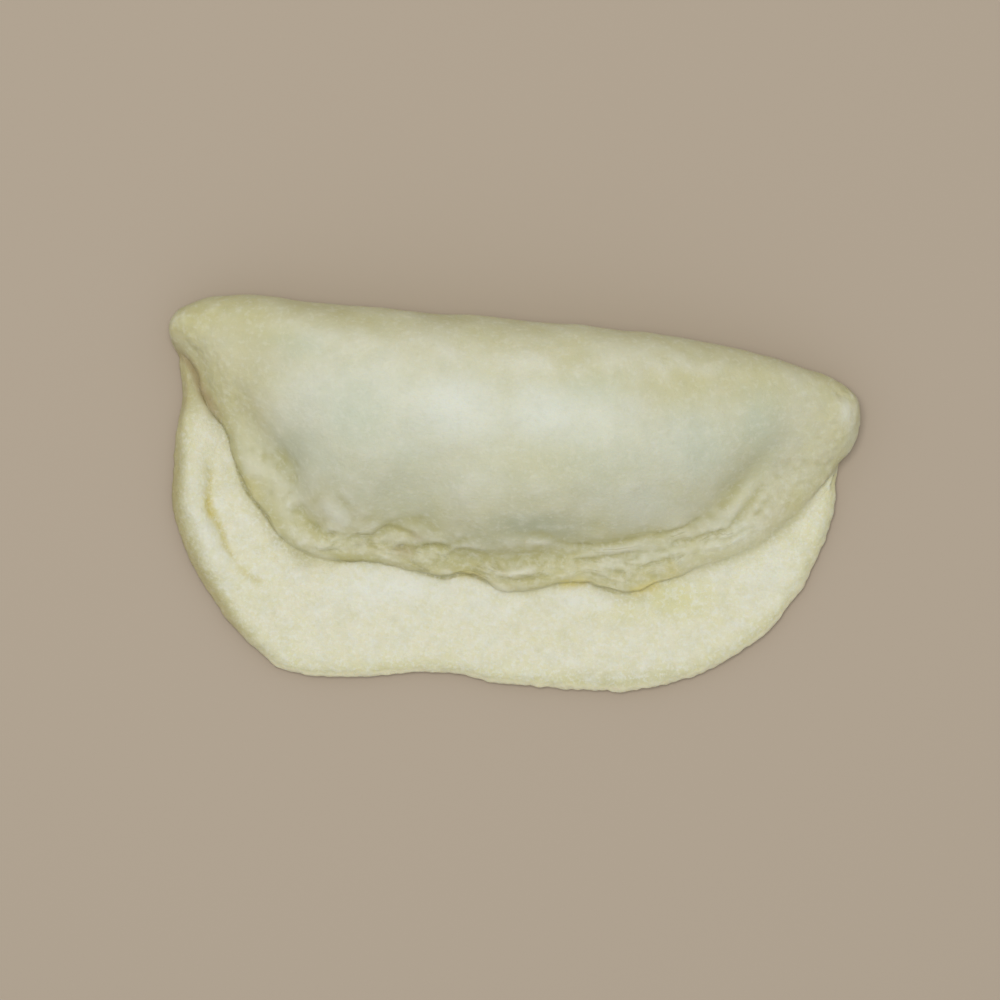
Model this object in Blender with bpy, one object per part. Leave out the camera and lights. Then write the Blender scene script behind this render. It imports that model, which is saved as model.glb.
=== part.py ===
"""A pirozhok folded over its filling, not yet pinched shut or baked.

A rolled disc of yeast dough lies flat with a mound of filling on it. Its far half is folded towards the
viewer over the mound and stops short of the near rim, so that a band of the lower half, the shelf,
shows in front. The dough hides the filling on every side, so the whole is one closed solid.

The solid is a loft. Four guide curves run from one end of the fold to the other: the fold itself, the
foot of the mound, the free edge of the folded flap and the rim of the lower half. A cross-section goes
round them at each station, and all the sections meet at the two ends of the fold.

X runs along the fold, Y across it with the fold at +Y, and Z up from the flat underside.
"""

import math

import bpy
from mathutils import Vector, noise
from mathutils.geometry import interpolate_bezier

MM = 0.001

# Driving dimensions, in millimetres
LENGTH = 120.0  # from one end of the fold to the other
SHELF = 3.4  # thickness of the lower half where it shows
CREST = 22.5  # top of the filled mound
LEFT_END = 10.5  # top of the fold near its ends, which hold no filling
RIGHT_END = 9.5
FOLD_TUCK = 4.2  # how far the fold rolls in beneath itself
CREASE_GAP = 0.3  # where the shelf starts, out from the flap's edge
CREASE_DEPTH = 0.75  # how far the edge is undercut, as a share of half its thickness
OPEN_SHELF = 3.0  # width of shelf from which on the undercut is full
END_REACH = 7.0  # length over which the ends of the fold close
END_HEIGHT = 4.0  # height of the outermost point at each end
FIT = 0.6  # the most that an edge's rounding takes of the width it is on

# At even steps from the left end to the right: the thickness of the flap's free edge, the height of the
# valley between the mound and the flap's border, and how full the mound's front slope is, where 2 makes
# it an ellipse and more makes it squarer
EDGE_THICKNESS = (3.8, 3.5, 2.9, 1.4, 1.8, 2.1, 2.3, 1.7, 1.6, 2.6, 3.4)
VALLEY_TOP = (8.6, 8.2, 7.0, 6.0, 6.0, 6.0, 6.0, 6.2, 6.6, 7.8, 8.2)
FRONT_FULLNESS = (2.0, 2.0, 2.0, 2.2, 2.6, 2.8, 2.8, 2.7, 2.5, 2.2, 2.0)

# Shape of the mound's cross-section, as shares of its width and height
FOLD_BULGE = 0.42  # height of the fold's outermost line
CREST_PLACE = 0.36  # the crest, from the fold to the foot
FOLD_FULLNESS = 2.3  # as the front's, for the slope at the back
LEFT_SLOPE = (0.04, 0.40)  # stations where the crest leaves each end and where it is full height
RIGHT_SLOPE = (0.05, 0.42)
SLOPE_FULLNESS = 0.6  # less than 1 makes the ends of the mound rounder
# How many times the top's heights are evened with their neighbours': at the ends and in the middle, and
# the station where the middle begins
END_SOFTENING = 16
SOFTENING = 3
SOFT_ENDS = 0.13

# The sections, and the rows of points round each of them
STATIONS = 104
FOLD_ROWS = 7
FRONT_ROWS = 12
BORDER_ROWS = 5
EDGE_ANGLES = (60, 30, 0, -35)
SHELF_ROWS = 9
RIM_ANGLES = (90, 55, 20, -20, -60, -90)
UNDER_ROWS = 5
ROLL_ANGLES = (-90, -60, -30)

# Guide curves in plan, in millimetres, from the fold's left end to its right end
LEFT_TIP = (-60.1, 27.6)
RIGHT_TIP = (59.9, 13.8)
FOLD_LINE = (
    LEFT_TIP, (-59.0, 31.4), (-54.6, 33.6), (-45.2, 34.3), (-36.5, 33.1), (-6.3, 30.6),
    (29.2, 26.9), (50.0, 21.9), (57.0, 19.3), (59.5, 16.7), RIGHT_TIP,
)
FOOT_LINE = (
    LEFT_TIP, (-55.2, 25.6), (-52.4, 19.0), (-49.6, 14.2), (-45.6, 9.0), (-40.0, 3.6),
    (-35.0, -4.0), (-29.4, -7.0), (-20.2, -5.8), (-6.3, -10.2), (3.0, -10.4), (11.1, -9.4),
    (23.3, -7.8), (31.4, -4.8), (39.6, 1.0), (46.6, 4.6), (55.0, 8.0), RIGHT_TIP,
)
FLAP_LINE = (
    LEFT_TIP, (-59.2, 26.4), (-57.4, 25.0), (-55.8, 21.8), (-54.8, 18.8), (-53.4, 15.6), (-49.9, 10.4),
    (-47.3, 1.8), (-43.3, -3.8), (-40.0, -8.5), (-36.5, -10.7), (-31.8, -11.6), (-24.9, -11.6),
    (-17.4, -13.4), (-12.6, -14.5), (-9.7, -13.9), (-7.3, -14.1), (-3.0, -16.1), (2.0, -16.8),
    (7.8, -15.6), (12.2, -15.2), (14.0, -16.1), (19.5, -17.3), (24.9, -15.3), (28.3, -14.6),
    (30.6, -13.2), (35.3, -11.6), (43.1, -8.1), (49.1, -3.2), (52.4, 0.5), (54.7, 3.7), (57.5, 7.0),
    (59.3, 10.2), RIGHT_TIP,
)
RIM_LINE = (
    LEFT_TIP, (-59.6, 25.6), (-58.3, 21.6), (-57.9, 17.4), (-59.5, 4.5), (-58.5, -6.8), (-50.1, -21.9),
    (-43.4, -28.6), (-40.6, -30.6), (-30.0, -31.8), (-18.0, -31.0), (-10.0, -31.2), (-5.0, -32.6),
    (15.0, -33.9), (24.0, -33.4), (33.7, -30.3), (46.0, -21.4), (53.1, -9.2), (55.4, -1.2),
    (55.7, 2.8), (56.9, 6.4), (59.3, 10.4), RIGHT_TIP,
)

# A wrinkle in the lower half beside its left rim, and the raised border that it cuts off
WRINKLE = ((-53.0, 5.0), (-53.4, -1.6), (-51.0, -6.6), (-47.3, -13.6))
WRINKLE_DEPTH = 0.7
WRINKLE_WIDTH = 1.0
BORDER_RISE = 1.4
BORDER_INSET = 3.5
BORDER_WIDTH = 3.0
BORDER_FADES = ((44, 48), (-14, -4), (-19, -8))  # where it starts, from the right, back and front

# Unevenness: how high it is, and how long its waves are along X and Y
MOUND_LUMPS = (1.3, 15.0, 12.0)
FLAP_CRINKLES = (0.9, 9.0, 3.4)
SHELF_LUMPS = (0.4, 13.0, 8.0)
# The same for the two free edges, in plan
FLAP_WAVES = (0.3, 3.5, 3.5)
RIM_WAVES = (0.35, 4.5, 4.5)


def smooth_step(low, high, value):
    """0 up to low, 1 from high on, and a smooth rise between."""
    share = min(1.0, max(0.0, (value - low) / (high - low)))
    return share * share * (3 - 2 * share)


def bump(distance, width):
    """1 at no distance, falling smoothly to nothing at about twice the width."""
    return math.exp(-((distance / width) ** 2))


def relief(shape, place, seed):
    """Smooth unevenness of the given (height, wave along X, wave across), the same each time."""
    height, along, across = shape
    return height * noise.noise(Vector((place.x / along, place.y / across, seed)))


def value_at(values, station):
    """The value at this station, of values given at even steps along the pirozhok."""
    place = station * (len(values) - 1)
    index = min(int(place), len(values) - 2)
    share = smooth_step(0, 1, place - index)
    return values[index] * (1 - share) + values[index + 1] * share


def curve_through(points, steps=20):
    """Points along a smooth curve through the given ones."""
    knots = [Vector(p) for p in points]
    ends = [knots[0], *knots, knots[-1]]
    slopes = [(after - before).normalized() for before, after in zip(ends, ends[2:])]
    path = []
    for start, end, slope, next_slope in zip(knots, knots[1:], slopes, slopes[1:]):
        handle = (end - start).length / 3
        piece = interpolate_bezier(
            start, start + slope * handle, end - next_slope * handle, end, steps + 1
        )
        path += piece[:-1]
    return [*path, knots[-1]]


def softened(rows, rounds):
    """The same rows, with each height evened out between its neighbours', this many times."""
    for _ in range(rounds):
        heights = [height for _, height in rows]
        even = [
            (before + 2 * height + after) / 4
            for before, height, after in zip(heights, heights[1:], heights[2:])
        ]
        heights = [heights[0], *even, heights[-1]]
        rows = [(place, height) for (place, _), height in zip(rows, heights)]
    return rows


def length_of(path):
    """The length of a path given as points."""
    return sum((end - start).length for start, end in zip(path, path[1:]))


def spread(path, count):
    """This many points spaced evenly along a path, with both its ends."""
    step = length_of(path) / (count - 1)
    found, walked = [path[0]], 0.0
    for start, end in zip(path, path[1:]):
        span = (end - start).length
        while len(found) < count - 1 and walked + span >= step * len(found):
            found.append(start.lerp(end, (step * len(found) - walked) / span))
        walked += span
    return [*found, path[-1]]


def distance_to(path, point):
    """How far a point in plan lies from a path."""
    return min((point - step).length for step in path)


RIM_PATH = curve_through(RIM_LINE)
WRINKLE_PATH = curve_through(WRINKLE)


class Section:
    """One cross-section. Its rows are (place in plan, height) pairs, in order round the dough."""

    def __init__(self, station, from_end, fold, foot, flap, rim):
        self.fold, self.foot = fold, foot
        # The ends of the fold close smoothly, and both free edges are ragged away from them.
        self.swell = math.sqrt(1 - (1 - min(1.0, from_end / END_REACH)) ** 2)
        self.ragged = smooth_step(END_REACH, 2 * END_REACH, from_end)
        self.out = (flap - foot).normalized()
        self.flap = flap + self.out * self.ragged * relief(FLAP_WAVES, flap, 3.3)
        self.rim_out = (rim - foot).normalized()
        self.rim = rim + self.rim_out * self.ragged * relief(RIM_WAVES, rim, 6.6)
        middle = smooth_step(0, SOFT_ENDS, min(station, 1 - station))
        self.softening = round(END_SOFTENING + (SOFTENING - END_SOFTENING) * middle)
        rise = smooth_step(*LEFT_SLOPE, station) * smooth_step(*RIGHT_SLOPE, 1 - station)
        rise **= SLOPE_FULLNESS
        low = LEFT_END + (RIGHT_END - LEFT_END) * station
        self.top = low + (CREST - low) * rise
        self.valley = value_at(VALLEY_TOP, station)
        self.fullness = value_at(FRONT_FULLNESS, station)
        self.edge_bulge = value_at(EDGE_THICKNESS, station) / 2
        # How far in from the flap's edge and from the rim their rounding reaches, where there is room
        shelf_width = (self.rim - self.flap).length
        self.edge_reach = min(self.edge_bulge, FIT * (self.flap - foot).length) * self.swell
        self.rim_reach = min(SHELF / 2, FIT * shelf_width) * self.swell
        self.gap = min(CREASE_GAP, FIT / 2 * shelf_width) * self.swell
        self.crease = CREASE_DEPTH * self.edge_reach * min(1.0, shelf_width / OPEN_SHELF)

    def mound_rows(self):
        """From the fold's outermost line up over the crest and down to the foot."""
        bulge = FOLD_BULGE * self.top
        rows = []
        for n in range(FOLD_ROWS):
            angle = math.radians(90 * n / FOLD_ROWS)
            across = CREST_PLACE * (1 - math.cos(angle) ** (2 / FOLD_FULLNESS))
            up = math.sin(angle) ** (2 / FOLD_FULLNESS)
            rows.append((self.fold.lerp(self.foot, across), bulge + (self.top - bulge) * up))
        for n in range(FRONT_ROWS + 1):
            share = n / FRONT_ROWS
            across = CREST_PLACE + (1 - CREST_PLACE) * share
            up = 1 - share**self.fullness
            height = self.valley + (self.top - self.valley) * up
            rows.append((self.fold.lerp(self.foot, across), height))
        lumpy = []
        for place, height in rows:
            share = smooth_step(self.valley, CREST, height)
            lumpy.append((place, height + share**0.5 * relief(MOUND_LUMPS, place, 1.7)))
        return lumpy

    def border_rows(self):
        """Across the flap's flat border, from the foot of the mound to its free edge."""
        end = self.flap - self.out * self.edge_reach
        edge_top = SHELF + 2 * self.edge_bulge
        rows = []
        for n in range(1, BORDER_ROWS + 1):
            share = n / BORDER_ROWS
            place = self.foot.lerp(end, share)
            height = self.valley + (edge_top - self.valley) * share**2
            crinkled = smooth_step(0, 0.3, share) * relief(FLAP_CRINKLES, place, 4.1)
            rows.append((place, height + self.ragged * crinkled))
        return rows

    def edge_rows(self):
        """Round the flap's free edge, down into the crease beneath it."""
        rows = []
        for degrees in EDGE_ANGLES:
            angle = math.radians(degrees)
            inset = self.edge_reach * (1 - math.cos(angle))
            height = SHELF + self.edge_bulge * (1 + math.sin(angle))
            rows.append((self.flap - self.out * inset, height))
        rows.append((self.flap - self.out * self.crease, SHELF))
        return rows

    def shelf_rows(self):
        """Across the part of the lower half that shows, to where the rim rounds off."""
        start = self.flap + self.rim_out * self.gap
        end = self.rim - self.rim_out * self.rim_reach
        rows = []
        for n in range(SHELF_ROWS):
            place = start.lerp(end, n / SHELF_ROWS)
            groove = WRINKLE_DEPTH * bump(distance_to(WRINKLE_PATH, place), WRINKLE_WIDTH)
            border = BORDER_RISE * bump(distance_to(RIM_PATH, place) - BORDER_INSET, BORDER_WIDTH)
            border *= smooth_step(*BORDER_FADES[0], -place.x)
            border *= smooth_step(*BORDER_FADES[1], -place.y) * smooth_step(*BORDER_FADES[2], place.y)
            uneven = relief(SHELF_LUMPS, place, 8.3)
            rows.append((place, SHELF + uneven + border - groove))
        return rows

    def rim_rows(self):
        """Round the rim of the lower half, from its top to its flat underside."""
        bulge = SHELF / 2
        rows = []
        for degrees in RIM_ANGLES:
            angle = math.radians(degrees)
            inset = self.rim_reach * (1 - math.cos(angle))
            rows.append((self.rim - self.rim_out * inset, bulge * (1 + math.sin(angle))))
        return rows

    def under_rows(self, rim_contact):
        """Across the flat underside, and up the fold to just below its outermost line."""
        inward = (self.foot - self.fold).normalized()
        bulge = FOLD_BULGE * self.top
        tuck = min(FOLD_TUCK, 0.4 * (self.foot - self.fold).length)
        contact = self.fold + inward * tuck
        rows = []
        for n in range(1, UNDER_ROWS + 1):
            rows.append((rim_contact.lerp(contact, n / (UNDER_ROWS + 1)), 0.0))
        for degrees in ROLL_ANGLES:
            angle = math.radians(degrees)
            place = self.fold + inward * tuck * (1 - math.cos(angle))
            rows.append((place, bulge * (1 + math.sin(angle))))
        return rows

    def points(self):
        """The section's points in space, all the way round."""
        rim = self.rim_rows()
        rows = softened(self.mound_rows() + self.border_rows(), self.softening)
        rows += self.edge_rows() + self.shelf_rows() + rim + self.under_rows(rim[-1][0])
        return [
            Vector((*place, END_HEIGHT + (height - END_HEIGHT) * self.swell))
            for place, height in rows
        ]


def sections():
    """Every section's points, from the left end to the right, without the two tips."""
    paths = [curve_through(line) for line in (FOLD_LINE, FOOT_LINE, FLAP_LINE)] + [RIM_PATH]
    guides = [spread(path, STATIONS + 2) for path in paths]
    found = []
    for n in range(1, STATIONS + 1):
        station = n / (STATIONS + 1)
        from_end = min(station, 1 - station) * length_of(paths[0])
        found.append(Section(station, from_end, *(guide[n] for guide in guides)).points())
    return found


def dough_mesh():
    """The loft: rings of four-sided faces between the sections, and a fan at each tip."""
    rings = sections()
    around = len(rings[0])
    points = [point for ring in rings for point in ring]
    points += [Vector((*tip, END_HEIGHT)) for tip in (LEFT_TIP, RIGHT_TIP)]
    left, right = len(points) - 2, len(points) - 1
    last = right - 1 - around
    faces = []
    for n in range(around):
        after = (n + 1) % around
        for start in range(0, last, around):
            faces.append((start + n, start + after, start + around + after, start + around + n))
        faces.append((left, after, n))
        faces.append((right, last + n, last + after))
    lows, highs = ([edge(p[i] for p in points) for i in (0, 1)] for edge in (min, max))
    middle = Vector(((lows[0] + highs[0]) / 2, (lows[1] + highs[1]) / 2, 0))
    scale = LENGTH / (highs[0] - lows[0]) * MM
    mesh = bpy.data.meshes.new("dough")
    mesh.from_pydata([(point - middle) * scale for point in points], [], faces)
    return mesh


def dough_material():
    """Raw yeast dough: pale and faintly yellow, with a soft sheen."""
    material = bpy.data.materials.new("dough")
    material.use_nodes = True
    shader = material.node_tree.nodes["Principled BSDF"]
    shader.inputs["Base Color"].default_value = (0.66, 0.62, 0.42, 1)
    shader.inputs["Roughness"].default_value = 0.5
    shader.inputs["Metallic"].default_value = 0.0
    return material


def main():
    for old in list(bpy.data.objects):
        bpy.data.objects.remove(old)
    mesh = dough_mesh()
    mesh.shade_smooth()
    mesh.materials.append(dough_material())
    dough = bpy.data.objects.new("dough", mesh)
    bpy.context.scene.collection.objects.link(dough)


main()
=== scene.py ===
# %% [markdown]
# # A pirozhok, folded over and waiting to be pinched
#
# A disc of soft yeast dough has been folded over a spoonful of filling. Nothing is pinched or baked yet, so
# all the interest is in one pale skin: how it stretches over the filling, wrinkles where it was pressed
# down, and keeps a little flour where it was rolled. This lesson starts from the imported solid, which gives
# the size and the main form, and works on a finer copy of it, as a sculptor would.

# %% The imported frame
import math

import bpy
import numpy as np
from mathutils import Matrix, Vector, noise


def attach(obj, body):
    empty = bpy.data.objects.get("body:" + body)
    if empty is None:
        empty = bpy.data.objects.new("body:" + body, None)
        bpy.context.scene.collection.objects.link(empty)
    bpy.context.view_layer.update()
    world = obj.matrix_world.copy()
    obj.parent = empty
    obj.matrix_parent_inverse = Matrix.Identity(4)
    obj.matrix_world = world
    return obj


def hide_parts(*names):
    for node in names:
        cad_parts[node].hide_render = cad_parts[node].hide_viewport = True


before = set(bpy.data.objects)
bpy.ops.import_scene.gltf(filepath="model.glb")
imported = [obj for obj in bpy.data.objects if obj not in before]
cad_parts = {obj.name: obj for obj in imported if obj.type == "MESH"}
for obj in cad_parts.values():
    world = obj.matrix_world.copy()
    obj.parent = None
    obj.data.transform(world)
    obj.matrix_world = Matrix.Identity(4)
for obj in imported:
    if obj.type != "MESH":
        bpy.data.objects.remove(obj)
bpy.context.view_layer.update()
print("nodes:", sorted(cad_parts))

# %% [markdown]
# ## Metres and millimetres
#
# Blender works in metres here, but dough is thought of in millimetres. Every place and depth below is in
# millimetres and is turned into metres only when the mesh is written. Operators act on all that is
# selected, so one small helper selects a single object first.

# %% Units and selection
MM = 0.001


def only(piece):
    """Select one object and nothing else, as a click in the viewport does."""
    bpy.ops.object.select_all(action="DESELECT")
    piece.select_set(True)
    bpy.context.view_layer.objects.active = piece


# %% [markdown]
# ## A copy to work on
#
# The solid's mesh is loose triangles, which don't smooth well. The copy's doubles are merged, its triangles
# are joined into four-sided faces, and two levels of Subdivision Surface give it a point about every third
# of a millimetre. That is fine enough for a crease that a fingertip leaves. A remesh would also give even
# faces, but it would close the narrow crease under the flap.

# %% The dough, copied and made finer
only(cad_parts["dough"])
bpy.ops.object.duplicate()
dough = bpy.context.object
dough.name = "folded_dough"
for key in list(dough.keys()):
    del dough[key]

JOIN_ANGLE = math.radians(60)  # triangles that differ by more than this aren't joined
only(dough)
bpy.ops.object.mode_set(mode="EDIT")
bpy.ops.mesh.select_all(action="SELECT")
bpy.ops.mesh.remove_doubles(threshold=0.01 * MM)
bpy.ops.mesh.tris_convert_to_quads(face_threshold=JOIN_ANGLE, shape_threshold=JOIN_ANGLE)
bpy.ops.object.mode_set(mode="OBJECT")
print("merged:", len(dough.data.vertices), "points,", len(dough.data.polygons), "faces")

SUBDIVISIONS = 2
finer = dough.modifiers.new("finer", "SUBSURF")
finer.levels = SUBDIVISIONS
finer.render_levels = SUBDIVISIONS
bpy.ops.object.modifier_apply(modifier="finer")
print("finer:", len(dough.data.vertices), "points,", len(dough.data.polygons), "faces")

# %% [markdown]
# ## The skin as arrays
#
# Sculpting by hand in the viewport can't be repeated by a script, so the strokes are worked out with numpy
# on all the points at once. Each point has a place, a direction that it faces, and neighbours along the
# edges of the mesh. The names x, y and z are views of the same array, so they follow when the skin is moved.


# %% Reading and writing the skin
def read(name):
    """A three-number property of every point, as an array."""
    values = np.empty(3 * len(dough.data.vertices))
    dough.data.vertices.foreach_get(name, values)
    return values.reshape(-1, 3)


def write_skin():
    """Put the skin back on the mesh."""
    dough.data.vertices.foreach_set("co", (skin * MM).ravel())
    dough.data.update()


skin = read("co") / MM
x, y, z = skin.T
pairs = np.empty(2 * len(dough.data.edges), int)
dough.data.edges.foreach_get("vertices", pairs)
ONE_END, OTHER_END = pairs.reshape(-1, 2).T
NEIGHBOURS = np.bincount(pairs, minlength=len(skin))


def evened(values):
    """Each point's value replaced by the mean of its neighbours'."""
    columns = values.reshape(len(skin), -1).T
    count = len(skin)
    totals = [
        np.bincount(ONE_END, column[OTHER_END], count) + np.bincount(OTHER_END, column[ONE_END], count)
        for column in columns
    ]
    return (np.array(totals) / NEIGHBOURS).T.reshape(values.shape)


def ramp(values, low, high):
    """0 up to low, 1 from high on, and a smooth rise between."""
    share = np.clip((values - low) / (high - low), 0, 1)
    return share * share * (3 - 2 * share)


def faded(distance, width):
    """1 at no distance, fading out over a width as a soft brush does."""
    return np.exp(-((distance / width) ** 2))


print("skin:", len(skin), "points, highest", round(z.max(), 1), "mm")


# %% [markdown]
# ## Strokes
#
# A sculpting brush is a weight that is strongest on its stroke and fades out round it. Here a stroke is a
# smooth curve through a few places in plan, and the weight falls with the distance from it.


# %% A stroke through a few places
def smooth_path(places, steps=8):
    """Points along a smooth curve through the given places."""
    knots = np.array([places[0], *places, places[-1]], float)
    share = np.linspace(0, 1, steps, endpoint=False)[:, None]
    path = []
    for before, start, end, after in zip(knots, knots[1:], knots[2:], knots[3:]):
        first = (end - before) / 2
        last = (after - start) / 2
        rise = share**2 * (3 - 2 * share)
        bend = share * (1 - share)
        path.append(start + (end - start) * rise + bend * (first * (1 - share) - last * share))
    return np.vstack([*path, knots[-1]])


def nearest(path):
    """For each point of the skin, its distance in plan from a path, its place along it and its side."""
    plan = skin[:, :2]
    distance = np.full(len(plan), np.inf)
    along = np.zeros(len(plan))
    side = np.zeros(len(plan))
    walked = 0.0
    for start, end in zip(path, path[1:]):
        step = end - start
        length = np.hypot(*step)
        offset = plan - start
        share = np.clip(offset @ step / length**2, 0, 1)
        away = np.hypot(*(offset - share[:, None] * step).T)
        closer = away < distance
        distance[closer] = away[closer]
        along[closer] = walked + share[closer] * length
        side[closer] = np.sign(step[0] * offset[closer, 1] - step[1] * offset[closer, 0])
        walked += length
    return distance, along, side, walked


# %% [markdown]
# ## The flap's free edge
#
# The flap was laid on the lower half, and its edge is a thin, wandering line. In plan it tells which part
# of the skin is the flap and which is the lower half. In some places the soft flap has already melted into
# what it lies on. There a smooth brush, which pulls each point towards its neighbours, wipes the edge out.

# %% The flap's edge in plan
FLAP_EDGE = (
    (-60.0, 27.5), (-59.1, 26.2), (-57.3, 24.8), (-55.7, 21.6), (-54.7, 18.6), (-53.3, 15.4),
    (-49.8, 10.2), (-47.2, 1.6), (-43.2, -4.0), (-39.9, -8.7), (-36.4, -10.9), (-31.7, -11.8),
    (-24.8, -11.8), (-17.3, -13.6), (-12.5, -14.7), (-9.6, -14.1), (-7.2, -14.3), (-2.9, -16.3),
    (2.1, -17.0), (7.9, -15.8), (12.3, -15.4), (14.1, -16.3), (19.6, -17.5), (25.0, -15.5),
    (28.4, -14.8), (30.7, -13.4), (35.4, -11.8), (43.2, -8.3), (49.2, -3.4), (52.5, 0.3),
    (54.8, 3.5), (57.6, 6.8), (59.4, 10.0), (60.0, 13.6),
)
distance, along_edge, side, edge_length = nearest(smooth_path(FLAP_EDGE))
inside_edge = side * distance
print("the flap's edge is", round(edge_length), "mm long")

# %% The rim of the lower half in plan
RIM_EDGE = (
    (-59.5, 25.4), (-58.2, 21.4), (-57.8, 17.2), (-59.4, 4.3), (-58.4, -7.0), (-50.0, -22.1),
    (-43.3, -28.8), (-40.5, -30.8), (-29.9, -32.0), (-17.9, -31.2), (-9.9, -31.4), (-4.9, -32.8),
    (15.1, -34.1), (24.1, -33.6), (33.8, -30.5), (46.1, -21.6), (53.2, -9.4), (55.5, -1.4), (55.8, 2.6),
)
print("places on the flap's edge:", len(FLAP_EDGE), "and on the rim:", len(RIM_EDGE))


# %% A smooth brush
def smooth_brush(share, rounds):
    """Pull each point towards its neighbours, as much as its share says, this many times."""
    for _ in range(rounds):
        skin[:] += share[:, None] * (evened(skin) - skin)

# %% Where the edge has melted in
# Place across and back, half-width, and how much
MELTED = (
    (-59.0, 26.0, 3.0, 0.9), (-38.6, -10.0, 3.5, 0.9), (-34.0, -11.4, 3.5, 1.0), (3.5, -16.8, 4.0, 0.6),
    (31.5, -13.4, 3.0, 0.7), (36.5, -11.4, 4.5, 1.0), (43.5, -8.0, 4.5, 0.9), (50.0, -2.4, 4.0, 0.7),
    (59.0, 11.5, 3.5, 1.0), (57.2, 6.6, 3.5, 1.0),
)
above_table = z > 1.2
melt = np.zeros(len(skin))
for across, back, half_width, share in MELTED:
    away = np.hypot(x - across, y - back)
    spot = np.exp(-((away / half_width) ** 2) - (inside_edge / 2.2) ** 2)
    melt = np.maximum(melt, share * spot * above_table)
on_the_right = ramp(along_edge, 113.0, 118.0) * (1 - ramp(along_edge, 138.0, 146.0))
melt = np.maximum(melt, 0.95 * on_the_right * faded(inside_edge, 2.8) * above_table)
smooth_brush(melt, 80)
print("points where the edge has melted in:", int((melt > 0.05).sum()))

# %% [markdown]
# Soft dough holds no sharp corner for long. So the same brush rounds the rim of the lower half, the flap's
# border at both ends, where no finger pressed it down, and the right foot of the mound. Used lightly, it
# also evens the mound, where the solid's facets would show as a faint hatching.

# %% The rim, where the dough's own weight has rounded it
from_rim = nearest(smooth_path(RIM_EDGE))[0]
beyond_flap = inside_edge < -1
smooth_brush(0.5 * faded(from_rim, 2.6) * beyond_flap * ramp(z, 0.8, 1.6), 30)
print("points near the rim:", int((from_rim < 2.6).sum()))

# %% Where no finger pressed the flap down, and the mound
FLAP_HEIGHT = 3.0  # what lies higher is the flap or the mound
left_end = ramp(y, 5.0, 13.0) * (x < -40)
right_end = ramp(y, -3.0, 4.0) * (x > 47)
band = ramp(inside_edge, 0.3, 1.0) * (1 - ramp(inside_edge, 6.0, 9.0)) * (z > FLAP_HEIGHT)
unpressed = (left_end + right_end) * band
smooth_brush(unpressed, 80)
smooth_brush(0.5 * ramp(inside_edge, 2.5, 5.0) * (z > FLAP_HEIGHT), 8)
print("points that no finger pressed:", int((unpressed > 0.05).sum()))

# %% The right foot of the mound, which runs out softly
FOOT = [(16.0, -8.6), (23.0, -7.4), (28.0, -6.6), (32.0, -4.6), (36.0, -1.4), (40.4, 4.0), (44.0, 9.5)]
from_foot = nearest(smooth_path(FOOT))[0]
smooth_brush(0.8 * faded(from_foot, 2.2) * (z > FLAP_HEIGHT), 40)
print("points at the foot:", int((from_foot < 2.2).sum()))

# %% [markdown]
# At the two ends of the fold all the solid's rows of points meet in one, and along the flap's edge they are
# squeezed together. The smooth brush hardly moves points that lie so close. There each point takes the mean
# of the skin within a fixed distance instead, as if that place were kneaded.

# %% Kneading a place
edge_lengths = np.linalg.norm(skin[ONE_END] - skin[OTHER_END], axis=1) ** 2
patch = np.bincount(pairs, np.repeat(edge_lengths, 2)) / NEIGHBOURS


def knead(across, back, reach, size):
    """Even out the skin round a place over a size in millimetres, however its points lie."""
    away = np.hypot(x - across, y - back)
    around = np.flatnonzero(away < reach + 3 * size)
    inner = np.flatnonzero(away < reach)
    share = (1 - ramp(away[inner], 0.5 * reach, reach)) * ramp(skin[inner, 2], 0.3, 1.3)
    means = []
    for few in np.array_split(inner, len(inner) // 200 + 1):
        gaps = ((skin[few, None] - skin[None, around]) ** 2).sum(axis=2)
        weights = np.exp(-gaps / (2 * size**2)) * patch[around]
        means.append(weights @ skin[around] / weights.sum(axis=1)[:, None])
    skin[inner] += share[:, None] * (np.vstack(means) - skin[inner])


# %% The ends of the fold, and the melted edge
# Place across and back, how far round it, and the size that is evened out
KNEADED = (
    (-58.8, 25.6, 4.5, 1.1), (58.8, 11.6, 5.0, 1.2), (56.2, 3.4, 3.6, 0.7),
    (-38.4, -9.6, 4.5, 1.5), (-34.2, -11.4, 4.5, 1.5), (36.0, -11.4, 4.0, 1.1), (42.5, -8.6, 4.5, 1.1),
    (48.0, -4.6, 4.0, 0.9),
)
for across, back, reach, size in KNEADED:
    knead(across, back, reach, size)
smooth_brush(melt * (x > -50) * (x < 53), 30)
print("kneaded places:", len(KNEADED))

# %% [markdown]
# The fold's right end is a lobe that overhangs the lower half, so the skin beneath it is drawn inwards. Then
# the skin goes onto the mesh for the first time, which tells the direction that each point faces.

# %% The lower half stays back beneath the lobe at the right
LOBE_CENTRE = (44.0, 18.0)
PULL = 0.9  # millimetres
beneath_lobe = ramp(y, 3.0, 6.0) * ramp(x, 44.0, 53.0) * (1 - ramp(z, 3.0, 4.2))
inward = LOBE_CENTRE - skin[:, :2]
skin[:, :2] += PULL * beneath_lobe[:, None] * inward / np.hypot(*inward.T)[:, None]
write_skin()
facing = read("normal")
print("points pulled in beneath the lobe:", int((beneath_lobe > 0.05).sum()))

# %% [markdown]
# ## Where the skin is floury, shaded or thin
#
# The colours follow the dough's form, so their masks are kept beside the shape as it is sculpted: flour on
# the lower half, painted shade, dark and yellow, in the creases, and a painted orange glow where a crease is
# deepest. The strokes below add up in one array, push, which says how far each point is to be moved along
# its normal.

# %% Colour masks
FAR = 9.0  # millimetres, for points that no line passes
up = np.clip((facing[:, 2] + 0.1) / 0.4, 0, 1)
push, warm_shade, orange_glow, brown_shade, dry_and_highlight, line = np.zeros((6, len(skin)))
across_line = np.full(len(skin), FAR)

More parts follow.
